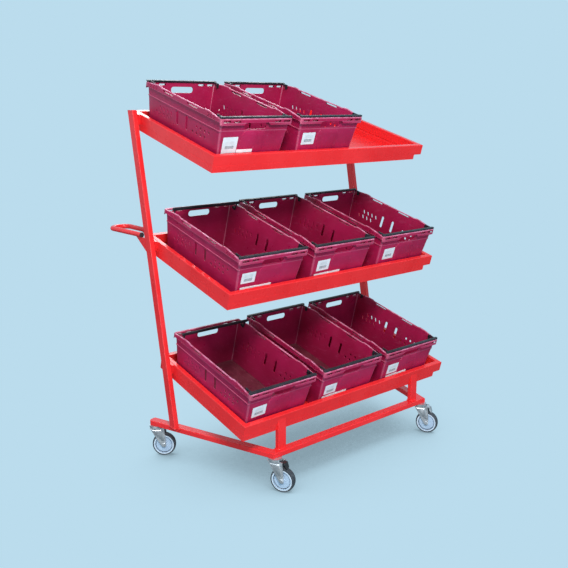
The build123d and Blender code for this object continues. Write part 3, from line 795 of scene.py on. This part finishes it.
def red_paint():
    """Sprayed gloss red over tube and sheet, with faint orange peel, duller handled patches and fine dirt."""
    paint = Finish("red_paint", specular=0.4)
    body = paint.clouds(5.0, dark=(0.79, 0.019, 0.022), pale=(0.90, 0.028, 0.031))
    dirt = paint.marks(34.0, span=(0.64, 0.8), most=0.2)
    paint.colour(paint.mix(dirt, body, (0.56, 0.03, 0.03)))
    paint.gloss(11.0, low=0.20, high=0.36, detail=4.0)
    paint.grain(420.0, height=0.00006, strength=0.5, detail=2.0)
    return paint.material


# Where a tote has painted shade on its inner walls, dust on its floor, or painted highlights along its rim,
# moulded lines and corners, in metres up its inside, from a moulded line or below its rim, and how strongly
# each shows
INNER_SHADE = (0.010, 0.190)
SHADE_SHARE = 0.36
FLOOR_DUST = (0.0035, 0.0070)
DUST_SHARE = 0.8
LINE_HIGHLIGHT = (0.0005, 0.0022)
LINE_HIGHLIGHT_SHARE = 0.22
RIM_HIGHLIGHT = (0.0008, 0.0045)
CORNER_HIGHLIGHT_SHARE = 0.34


def tote_highlights(plastic, height, depth, outside, corner):
    """Return how far a tote's rim, moulded lines and corners are lit pale by painted highlights, the rim's
    broken up by random rubbed wear.
    """
    # Painted highlights: pale lines along the rib's top and the skirt's lower edge, on the outside only.
    lines = 0.0
    for level in (RIB[1], TOTE_HEIGHT - SIDE_BAND):
        away = plastic.math("ABSOLUTE", plastic.math("SUBTRACT", height, level))
        lines = plastic.math("MAXIMUM", lines, plastic.fade(away, LINE_HIGHLIGHT, LINE_HIGHLIGHT_SHARE))
    # Painted highlight along the rim's top, broken up by random rubbed wear.
    rubbed = plastic.marks(28.0, span=(0.4, 0.62), least=0.15, most=0.7, detail=5.0, roughness=0.65)
    rim = plastic.math("MULTIPLY", plastic.fade(depth, RIM_HIGHLIGHT, 1.0), rubbed)
    edge = plastic.math("MAXIMUM", rim, plastic.math("MULTIPLY", lines, outside))
    return plastic.math("MAXIMUM", edge, plastic.math("MULTIPLY", corner, CORNER_HIGHLIGHT_SHARE))


def tote_plastic():
    """Moulded wine-red plastic with random scuffs, painted shade down its inner walls, a dusty floor, and
    painted highlights along its rim, moulded lines and corners.
    """
    plastic = Finish("tote_plastic", specular=0.4)
    height, depth, _ = plastic.attribute("heights")
    outside, corner, _ = plastic.attribute("sides")
    body = plastic.clouds(7.0, dark=(0.34, 0.007, 0.050), pale=(0.45, 0.011, 0.078))
    # Painted shade: the inside darkens towards its floor.
    shaded = plastic.mix(plastic.fade(height, INNER_SHADE, SHADE_SHARE), body, (0.08, 0.005, 0.02))
    dust = plastic.clouds(16.0, dark=(0.055, 0.010, 0.018), pale=(0.13, 0.045, 0.052),
                          detail=6.0, roughness=0.7, span=(0.35, 0.7))
    inner = plastic.mix(plastic.fade(height, FLOOR_DUST, DUST_SHARE), shaded, dust)
    moulded = plastic.mix(outside, inner, body)
    scuffs = plastic.marks(60.0, span=(0.56, 0.74), most=0.45, roughness=0.75, squeeze=(1.0, 0.3, 1.6))
    worn = plastic.mix(scuffs, moulded, (0.52, 0.09, 0.21))
    # Painted highlights on the rim, moulded lines and corners, laid over as pale pink.
    edge = tote_highlights(plastic, height, depth, outside, corner)
    plastic.colour(plastic.mix(edge, worn, (0.80, 0.36, 0.52)))
    plastic.gloss(18.0, low=0.26, high=0.46, detail=5.0)
    plastic.grain(900.0, height=0.00005, strength=0.35, detail=2.0)
    return plastic.material


def black_enamel():
    """Black enamel on the bale arms, rubbed grey where hands and stacked totes slide."""
    enamel = Finish("black_enamel", specular=0.3)
    body = enamel.clouds(9.0, dark=(0.012, 0.012, 0.016), pale=(0.03, 0.03, 0.038), span=(0.35, 0.7))
    rubbed = enamel.marks(70.0, span=(0.6, 0.75), most=0.5)
    enamel.colour(enamel.mix(rubbed, body, (0.11, 0.11, 0.13)))
    enamel.gloss(25.0, low=0.40, high=0.60)
    enamel.grain(300.0, height=0.00006, strength=0.4)
    return enamel.material


def bright_zinc():
    """Bright zinc plate on the pressed castor steel, clouded and lightly stained."""
    zinc = Finish("bright_zinc", metallic=0.78)
    body = zinc.clouds(24.0, dark=(0.52, 0.54, 0.57), pale=(0.76, 0.78, 0.81), detail=5.0)
    stain = zinc.marks(90.0, span=(0.6, 0.78), most=0.5)
    zinc.colour(zinc.mix(stain, body, (0.42, 0.42, 0.43)))
    zinc.gloss(40.0, low=0.26, high=0.46, detail=5.0)
    zinc.grain(160.0, height=0.00008, strength=0.4)
    return zinc.material


def wheel_grey():
    """Pale blue-grey moulded wheel centre, dusty in places."""
    grey = Finish("wheel_grey")
    body = grey.clouds(30.0, dark=(0.37, 0.46, 0.59), pale=(0.48, 0.58, 0.71))
    dust = grey.marks(110.0, span=(0.55, 0.75), most=0.55, detail=5.0)
    grey.colour(grey.mix(dust, body, (0.30, 0.31, 0.33)))
    grey.gloss(50.0, low=0.38, high=0.6)
    grey.grain(500.0, height=0.00005, strength=0.4)
    return grey.material


def wheel_rim():
    """Pale wheel rim, polished by wiping and greyed in places."""
    rim = Finish("wheel_rim")
    body = rim.clouds(40.0, dark=(0.58, 0.63, 0.70), pale=(0.72, 0.77, 0.84))
    dust = rim.marks(130.0, span=(0.58, 0.78), most=0.5, detail=5.0)
    rim.colour(rim.mix(dust, body, (0.36, 0.38, 0.41)))
    rim.gloss(60.0, low=0.28, high=0.5)
    rim.grain(500.0, height=0.00005, strength=0.4)
    return rim.material


def tyre_rubber():
    """Blue-black tyre, greyed by floor dust."""
    rubber = Finish("tyre_rubber", specular=0.35)
    body = rubber.clouds(20.0, dark=(0.030, 0.034, 0.042), pale=(0.055, 0.060, 0.072))
    dust = rubber.marks(85.0, span=(0.5, 0.75), most=0.5)
    rubber.colour(rubber.mix(dust, body, (0.17, 0.175, 0.18)))
    rubber.gloss(60.0, low=0.62, high=0.86)
    rubber.grain(260.0, height=0.00015, strength=0.5, detail=4.0)
    return rubber.material


def black_plastic():
    """Black moulded plastic on plugs and pedals."""
    plastic = Finish("black_plastic")
    body = plastic.clouds(40.0, dark=(0.012, 0.012, 0.013), pale=(0.03, 0.03, 0.032))
    dust = plastic.marks(120.0, span=(0.6, 0.8), most=0.4, detail=5.0)
    plastic.colour(plastic.mix(dust, body, (0.12, 0.12, 0.12)))
    plastic.gloss(45.0, low=0.42, high=0.65)
    plastic.grain(600.0, height=0.00006, strength=0.5)
    return plastic.material


# Generic print on a label: half its width, its lines and bars to the metre, and the heights that hold them
LABEL_PRINT = 0.023
LABEL_RULES = 210.0
LABEL_RULED = (0.001, 0.016)
LABEL_FAINT = 0.35
LABEL_BARS = (290.0, 470.0)
LABEL_BARRED = (-0.017, -0.003)


def label_print(sheet):
    """Return how dark a label is printed: faint ruled lines above a block of plain bars, a little rubbed."""
    across, _, up = sheet.attribute("own_place")
    side = sheet.math("LESS_THAN", sheet.math("ABSOLUTE", across), LABEL_PRINT)
    ruled = sheet.math("MULTIPLY", sheet.stripes(up, LABEL_RULES), sheet.between(up, *LABEL_RULED))
    bars = sheet.math("MAXIMUM", *(sheet.stripes(across, count) for count in LABEL_BARS))
    barred = sheet.math("MULTIPLY", bars, sheet.between(up, *LABEL_BARRED))
    printed = sheet.math("MAXIMUM", sheet.math("MULTIPLY", ruled, LABEL_FAINT), barred)
    rubbed = sheet.marks(240.0, span=(0.35, 0.65), least=0.55, most=0.9, detail=2.0, roughness=0.55)
    return sheet.math("MULTIPLY", sheet.math("MULTIPLY", printed, side), rubbed)


def label_paper():
    """White label paper with generic grey print."""
    sheet = Finish("label_paper", specular=0.3)
    body = sheet.clouds(30.0, dark=(0.64, 0.66, 0.69), pale=(0.76, 0.77, 0.80))
    sheet.colour(sheet.mix(label_print(sheet), body, (0.10, 0.11, 0.13)))
    sheet.gloss(70.0, low=0.5, high=0.7)
    sheet.grain(800.0, height=0.00003, strength=0.4)
    return sheet.material


def plain_paper():
    """White paper strip, a little grubby."""
    sheet = Finish("plain_paper", specular=0.3)
    body = sheet.clouds(35.0, dark=(0.80, 0.80, 0.82), pale=(0.92, 0.91, 0.92))
    grime = sheet.marks(120.0, span=(0.6, 0.8), most=0.4, detail=5.0)
    sheet.colour(sheet.mix(grime, body, (0.55, 0.50, 0.50)))
    sheet.gloss(70.0, low=0.5, high=0.7)
    sheet.grain(800.0, height=0.00003, strength=0.4)
    return sheet.material


MATERIALS = {
    "red_paint": red_paint(),
    "tote_plastic": tote_plastic(),
    "arm_black": black_enamel(),
    "zinc": bright_zinc(),
    "wheel_grey": wheel_grey(),
    "wheel_rim": wheel_rim(),
    "tyre_rubber": tyre_rubber(),
    "black_plastic": black_plastic(),
    "label_paper": label_paper(),
    "plain_paper": plain_paper(),
}


# Pieces on their bodies


def dress(piece, finish):
    """Give a piece one finish all over."""
    piece.data.materials.clear()
    piece.data.materials.append(MATERIALS[finish])


def ride(piece, body, finish):
    """Finish a new piece and set it on the body that carries it."""
    dress(piece, finish)
    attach(piece, body)


def dress_frame():
    """Give every CAD node the finish that its slot names."""
    for part in frame["record"]["subparts"]:
        dress(NODES[part["node"]], part["material_slot"])


def place_totes():
    """Stand a copy of the finished tote at each tote's place."""
    master = tote_master()
    keep_shade_and_highlight_places(master)
    for name in TOTES:
        tote = copy_of(master, f"tote_shell_{name}", tote_place(name))
        ride(tote, f"tote_{name}", "tote_plastic")
        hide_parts(f"tote_{name}")
    bpy.data.objects.remove(master)


def place_arms():
    """Hang a copy of the finished arm on both ends of every tote."""
    master = arm_master()
    for name in TOTES:
        for end in ("front", "back"):
            node = f"arm_{end}_{name}"
            arm = copy_of(master, f"bale_{end}_{name}", arm_place(end, name))
            ride(arm, node, "arm_black")
            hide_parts(node)
    bpy.data.objects.remove(master)


def label_totes():
    """Stick each tote's paper on its front."""
    for kind, finish, slips in (("label", "label_paper", LABELS), ("strip", "plain_paper", STRIPS)):
        for name, place in slips.items():
            slip = paper(f"{kind}_{name}", *place)
            slip.data.transform(tote_place(name))
            ride(slip, f"tote_{name}", finish)


# Castor fork and wheel, in the castor's own frame: X trailing, Y along the axle, Z up from the floor
CHEEK_FACE = 0.022
CHEEK_PRESS = 0.0012
CHEEK_INSET = 0.003
CHEEK_CREASE = 0.4
CHEEK_EDGE = 0.0006
CHEEK_TOP = (-0.020, 0.031, 0.137)
CHEEK_FOOT = (0.031, 0.045, 0.080)
WHEEL_PLACE = (0.039, 0.058)
WHEEL_FACE = 0.016
RIM_RING = (0.0450, 0.0492)
RIM_RISE = 0.0008
GROOVE_SHADE_RING = (0.0398, 0.0417)
GROOVE_IN = 0.0055
GROOVE_RISE = 0.0012
RING_EDGE = 0.0002


def castor_place(name):
    """Return the matrix from a castor's own frame to where it stands and points."""
    across = Vector(JOINTS[f"castor_{name}_roll"]["axis"])
    place = Matrix((Vector((across.y, -across.x, 0)), across, Vector((0, 0, 1)))).transposed().to_4x4()
    stand = JOINTS[f"castor_{name}_swivel"]["pos_m"]
    place.translation = (stand[0], stand[1], 0)
    return place


def cheek_press(side):
    """Return the stiffening press that stands out of one fork cheek, narrowing towards the axle."""
    press = start("cube", "cheek_press", size=1)
    low, high, top = CHEEK_TOP
    foot_low, foot_high, foot = CHEEK_FOOT
    centre, out = (low + high) / 2, side * CHEEK_FACE
    stretch(high - low, 2 * CHEEK_PRESS, top - foot)
    move(centre, out, (top + foot) / 2)
    pick(press, "VERT", lambda point: point.co.z < foot + CHEEK_PRESS)
    stretch((foot_high - foot_low) / (high - low), 1, 1, about=(centre, out, foot))
    move((foot_low + foot_high) / 2 - centre, 0, 0)
    pick(press, "FACE", lambda face: side * face.normal.y > FACING)
    bpy.ops.mesh.inset(thickness=CHEEK_INSET, depth=CHEEK_PRESS)
    pick(press, "EDGE", lambda edge: edge.calc_face_angle(0.0) > CHEEK_CREASE
         and side * middle(edge).y > CHEEK_FACE - CHEEK_PRESS)
    ease(CHEEK_EDGE, segments=2)
    at_rest()
    return press


def face_ring(inner, outer, out, rise):
    """Return a flat ring round the axle on one face of a wheel, its edges eased."""
    ring = start("circle", "wheel_ring", vertices=72, radius=inner)
    bpy.ops.mesh.extrude_edges_move()
    stretch(outer / inner, outer / inner, 1)
    pick_all()
    turn(90, "X")
    move(WHEEL_PLACE[0], out, WHEEL_PLACE[1])
    apply_modifier(ring, "SOLIDIFY", thickness=rise, offset=0)
    ease_sharp(ring, RING_EDGE, segments=1)
    reopen(ring)
    face_outward()
    at_rest()
    return ring


def wheel_rings(span, out, rise):
    """Return a ring on each face of a wheel as one piece."""
    return join(face_ring(*span, -out, rise), face_ring(*span, out, rise))


def detail_castors():
    """Add the pressed cheeks, wheel rims, and dark rings of painted shade in the wheel grooves to all four
    castors.
    """
    groove_face = WHEEL_FACE - GROOVE_IN
    masters = {
        "cheeks": (join(cheek_press(-1), cheek_press(1)), "castor", "zinc"),
        "rims": (wheel_rings(RIM_RING, WHEEL_FACE, RIM_RISE), "wheel", "wheel_rim"),
        # Dark rings on the groove floors: painted shade in the wheel grooves.
        "groove_shades": (wheel_rings(GROOVE_SHADE_RING, groove_face, GROOVE_RISE), "wheel", "black_plastic"),
    }
    for kind, (master, carrier, finish) in masters.items():
        smooth(master, angle=35)
        for name in CASTORS:
            piece = copy_of(master, f"castor_{kind}_{name}", castor_place(name))
            ride(piece, f"{carrier}_{name}", finish)
        bpy.data.objects.remove(master)


# Weld beads round the feet of the posts and uprights, and across the side rails ahead of the uprights
BEAD = 0.0028
FOOT_SLICE = 0.004
RAIL_BEAD_AHEAD = 0.016


def foot_corners(node):
    """Return the near left and far right corners of a tube's foot, read from its lowest points."""
    points = [point.co for point in NODES[node].data.vertices]
    low = min(point.z for point in points)
    foot = [point for point in points if point.z < low + FOOT_SLICE]
    near = Vector((min(point.x for point in foot), min(point.y for point in foot), low))
    far = Vector((max(point.x for point in foot), max(point.y for point in foot), low))
    return near, far


def bead(name, near, far, front_only=False):
    """Return a rounded bead of weld round a level rectangle, or along its front side alone."""
    line = start("plane", name, size=1)
    stretch(far.x - near.x, far.y - near.y, 1)
    move(*((near + far) / 2))
    bpy.ops.mesh.delete(type="ONLY_FACE")
    if front_only:
        pick(line, "EDGE", lambda edge: middle(edge).y > near.y + BEAD)
        bpy.ops.mesh.delete(type="EDGE")
    take(line)
    bpy.ops.object.convert(target="CURVE")
    curve = bpy.context.object.data
    curve.bevel_depth = BEAD
    curve.bevel_resolution = 2
    curve.use_fill_caps = True
    bpy.ops.object.convert(target="MESH")
    weld = bpy.context.object
    weld.name = name
    smooth(weld, angle=60)
    return weld


def weld_feet():
    """Run a bead of weld round the foot of each post and upright, and one across each side rail."""
    ahead = Vector((0, RAIL_BEAD_AHEAD, 0))
    for side in ("left", "right"):
        for tube in ("front_post", "upright"):
            weld = bead(f"weld_{tube}_{side}", *foot_corners(f"{tube}_{side}"))
            ride(weld, "frame", "red_paint")
        corners = [corner - ahead for corner in foot_corners(f"upright_{side}")]
        ride(bead(f"weld_rail_{side}", *corners, front_only=True), "frame", "red_paint")


# Filled seam under each tray's rim tube: its depth below the rim's top, its height, and how it is set in
SEAM_DEPTH = 0.047
SEAM_WIDTH = 0.0076
SEAM_IN = 0.0003
SEAM_THICK = 0.0012
SEAM_EDGE = 0.0003


def tray_corners(name):
    """Return a tray's tilt matrix, and the lowest and highest corners of its rim in that tilt."""
    normal = Vector(JOINTS[f"tote_{name}_1_lift"]["axis"])
    tilt = Matrix((Vector((1, 0, 0)), Vector((0, normal.z, -normal.y)), normal)).transposed()
    points = [tilt.inverted() @ point.co for point in NODES[f"tray_{name}_rim"].data.vertices]
    low = Vector([min(point[axis] for point in points) for axis in range(3)])
    high = Vector([max(point[axis] for point in points) for axis in range(3)])
    return tilt.to_4x4(), low, high


def fill_tray_seams():
    """Fill the seam between each tray's rim tube and its pan with a smoothed band of weld."""
    for name in TRAYS:
        tilt, low, high = tray_corners(name)
        span, centre = high - low, (low + high) / 2
        band = start("cube", f"seam_{name}", size=1)
        stretch(span.x - 2 * SEAM_IN, span.y - 2 * SEAM_IN, SEAM_WIDTH)
        move(centre.x, centre.y, high.z - SEAM_DEPTH)
        pick(band, "FACE", lambda face: abs(face.normal.z) > FACING)
        bpy.ops.mesh.delete(type="FACE")
        pick_all()
        bpy.ops.mesh.subdivide(number_cuts=1)
        apply_modifier(band, "SOLIDIFY", thickness=SEAM_THICK, offset=-1, use_even_offset=True)
        ease_sharp(band, SEAM_EDGE, segments=2)
        smooth(band, angle=40)
        band.data.transform(tilt)
        ride(band, "frame", "red_paint")


# Stage: a pale glowing floor with a painted shadow by how openly it lies, the air above and below it, and
# three lamps
BACKDROP = (0.497, 0.716, 0.847)
FLOOR_SIZE = 80
PAINTED_SHADOW_REACH = 0.9
PAINTED_SHADOW_TONES = ((0.33, 0.42), (0.44, 0.70), (0.66, 0.93), (0.86, 1.0))
AIR_FADE = (-0.2, -0.06)
AIR_BELOW = 0.1
LIT = Vector((0, 0, 0.9))
KEY_PLACE = (-2.2, -3.6, 4.0)
KEY_POWER = 234.0
KEY_SIZE = 1.2
KEY_COLOUR = (1.0, 0.98, 0.95)
BEHIND_PLACE = (1.35, 2.7, 3.45)
BEHIND_POWER = 65.0
BEHIND_SIZE = 1.9
SIDE_PLACE = (-3.4, -1.7, 1.1)
SIDE_POWER = 60.0
SIDE_SIZE = (0.5, 2.2)

# Camera, found from the tote rims, tray edges and uprights in the photograph
CAMERA_PLACE = (-2.5641, -2.9556, 1.7043)
CAMERA_TURN = (76.92, 0.0, -40.53)
CAMERA_LENS = 49.28
CAMERA_SENSOR = 36.0


def dimmed(share):
    """Return the backdrop's tone, dimmed to a share."""
    return tuple(share * tone for tone in BACKDROP)


def studio_floor():
    """Lay a wide pale blue floor that glows evenly, with a painted shadow: its glow is dimmer where the
    trolley shelters it.
    """
    floor = start("plane", "studio_floor", size=FLOOR_SIZE)
    bpy.ops.mesh.subdivide(number_cuts=3)
    at_rest()
    floor.visible_glossy = False
    cloth = Finish("studio_blue", specular=0.0)
    cloth.surface["Base Color"].default_value = (0.0, 0.0, 0.0, 1.0)
    # Painted shadow: the floor's glow dims where the trolley hides its sky.
    shelter = cloth.nodes.new("ShaderNodeAmbientOcclusion")
    shelter.inputs["Distance"].default_value = PAINTED_SHADOW_REACH
    glow = cloth.ramp(shelter.outputs["AO"], [(place, dimmed(share)) for place, share in PAINTED_SHADOW_TONES])
    cloth.link(glow, cloth.surface["Emission Color"])
    cloth.surface["Emission Strength"].default_value = 1.0
    floor.data.materials.append(cloth.material)


def studio_air():
    """Surround all with the floor's pale blue, dark below the floor so that the paint keeps its depth."""
    world = bpy.data.worlds.new("studio_air")
    world.use_nodes = True
    air = Patterns(world.node_tree)
    height = air.split(air.places("Generated"))[2]
    level = air.spread(height, AIR_FADE, (0.0, 1.0))
    tones = air.ramp(level, [(0.0, dimmed(AIR_BELOW)), (1.0, BACKDROP)])
    air.link(tones, air.nodes["Background"].inputs["Color"])
    bpy.context.scene.world = world


def lamp(name, place, power, **settings):
    """Return a new area lamp that looks at the middle of the trolley."""
    at_rest()
    bpy.ops.object.light_add(type="AREA", location=place)
    light = bpy.context.object
    light.name = f"lamp_{name}"
    light.data.energy = power
    light.visible_camera = False
    for setting, value in settings.items():
        setattr(light.data, setting, value)
    aim = LIT - Vector(place)
    light.rotation_euler = aim.to_track_quat("-Z", "Y").to_euler()
    return light


def studio():
    """Light the trolley softly from the front and above, with two lamps that show only in its gloss."""
    studio_floor()
    studio_air()
    lamp("front", KEY_PLACE, KEY_POWER, shape="DISK", size=KEY_SIZE, color=KEY_COLOUR)
    width, height = SIDE_SIZE
    behind = lamp("behind", BEHIND_PLACE, BEHIND_POWER, size=BEHIND_SIZE)
    beside = lamp("side", SIDE_PLACE, SIDE_POWER, shape="RECTANGLE", size=width, size_y=height)
    for light in (behind, beside):
        light.visible_diffuse = False


def camera():
    """Stand where the photograph was taken."""
    at_rest()
    facing = [radians(angle) for angle in CAMERA_TURN]
    bpy.ops.object.camera_add(location=CAMERA_PLACE, rotation=facing)
    eye = bpy.context.object
    eye.data.lens = CAMERA_LENS
    eye.data.sensor_width = CAMERA_SENSOR
    bpy.context.scene.camera = eye


bpy.context.scene.view_settings.view_transform = "Standard"
dress_frame()
place_totes()
place_arms()
detail_castors()
weld_feet()
fill_tray_seams()
label_totes()
studio()
camera()
at_rest()
